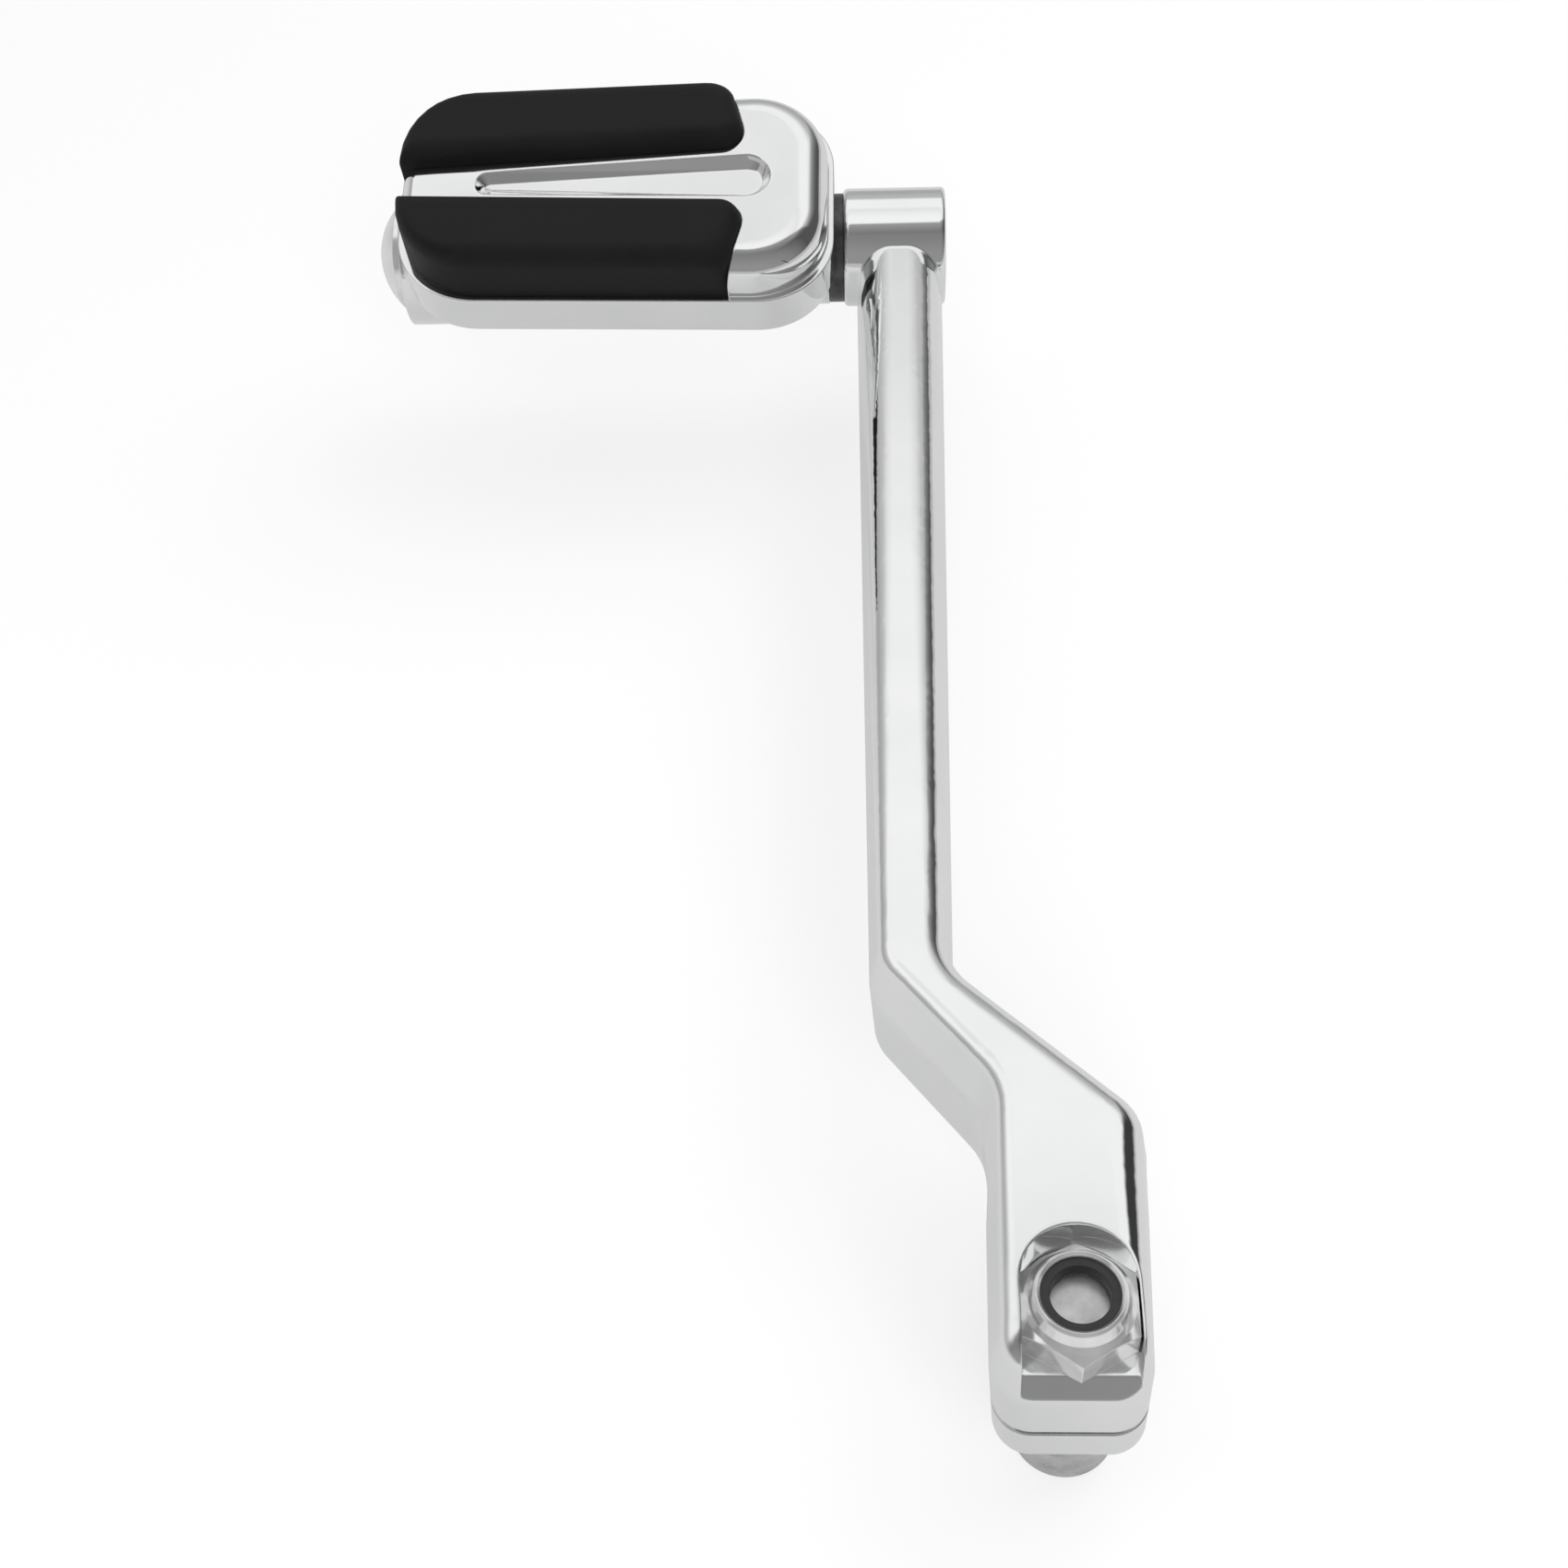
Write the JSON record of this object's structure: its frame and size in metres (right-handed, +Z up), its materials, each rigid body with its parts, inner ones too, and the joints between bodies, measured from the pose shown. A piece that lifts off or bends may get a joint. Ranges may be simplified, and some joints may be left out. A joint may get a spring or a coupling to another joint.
{
  "type": "motorcycle gear shift lever",
  "caption": "Chromed foot shift lever with a splined pinch clamp, a doglegged arm and a rubber-padded toe peg turned on its bolt to set its angle.",
  "frame": {"origin": "centre of the splined bore, halfway along it", "axes": "+X along the bore towards the gearbox, +Y along the arm towards the toe peg, +Z up out of the face that holds the pinch nut"},
  "size_m": [0.1121, 0.2156, 0.0538],
  "materials": {
    "chrome": "bright chrome plate over a cast and polished body",
    "plated_steel": "satin zinc-plated steel",
    "nylon": "dark grey nylon",
    "pad_rubber": "matte black moulded rubber"
  },
  "bodies": {
    "lever": {"lever_arm": "chrome", "pinch_bolt": "plated_steel", "pinch_nut": "plated_steel", "pinch_nut_insert": "nylon", "peg_bolt": "plated_steel", "peg_bolt_washer": "plated_steel", "peg_lock_washer": "plated_steel"},
    "peg": {"peg_body": "chrome", "rear_pad": "pad_rubber", "front_pad": "pad_rubber"}
  },
  "joints": [
    {"name": "peg_clocking", "type": "hinge", "parent": "lever", "child": "peg", "pos_m": [-0.062, 0.1721, 0.0108], "axis": [1, 0, 0], "continuous": true}
  ]
}
